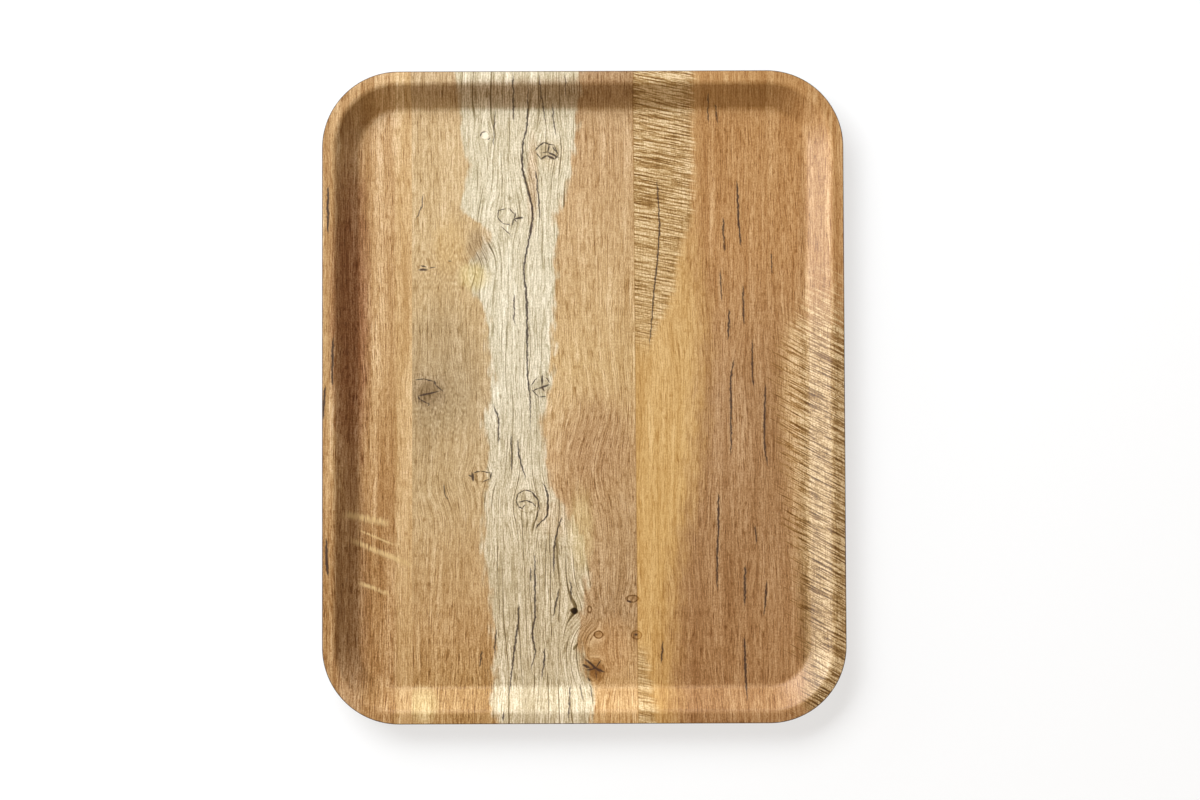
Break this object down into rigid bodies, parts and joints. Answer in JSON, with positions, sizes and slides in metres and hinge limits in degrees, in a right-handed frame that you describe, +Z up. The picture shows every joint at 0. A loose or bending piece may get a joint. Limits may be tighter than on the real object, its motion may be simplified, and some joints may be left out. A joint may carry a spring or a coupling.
{
  "type": "serving tray",
  "caption": "Rounded rectangular serving tray pressed from laminate sheets, with a flat floor, sloping walls, a narrow flat lip and a reclaimed-oak print.",
  "frame": {"origin": "on the surface that the tray stands on, under the middle of the floor", "axes": "+X across the tray, +Y along its length and its print's grain, +Z up out of the serving surface"},
  "size_m": [0.36, 0.45, 0.0166],
  "materials": {
    "overlay": "clear pressed melamine, semi-gloss",
    "decor": "printed with reclaimed oak boards, upright grain",
    "core": "kraft paper set in phenolic resin, sanded at the edge",
    "backing": "plain brown melamine, satin"
  },
  "bodies": {
    "root": {"wear_overlay": "overlay", "decor_sheet": "decor", "core_ply_1": "core", "core_ply_2": "core", "core_ply_3": "core", "core_ply_4": "core", "core_ply_5": "core", "core_ply_6": "core", "core_ply_7": "core", "core_ply_8": "core", "backing_sheet": "backing"}
  },
  "joints": []
}
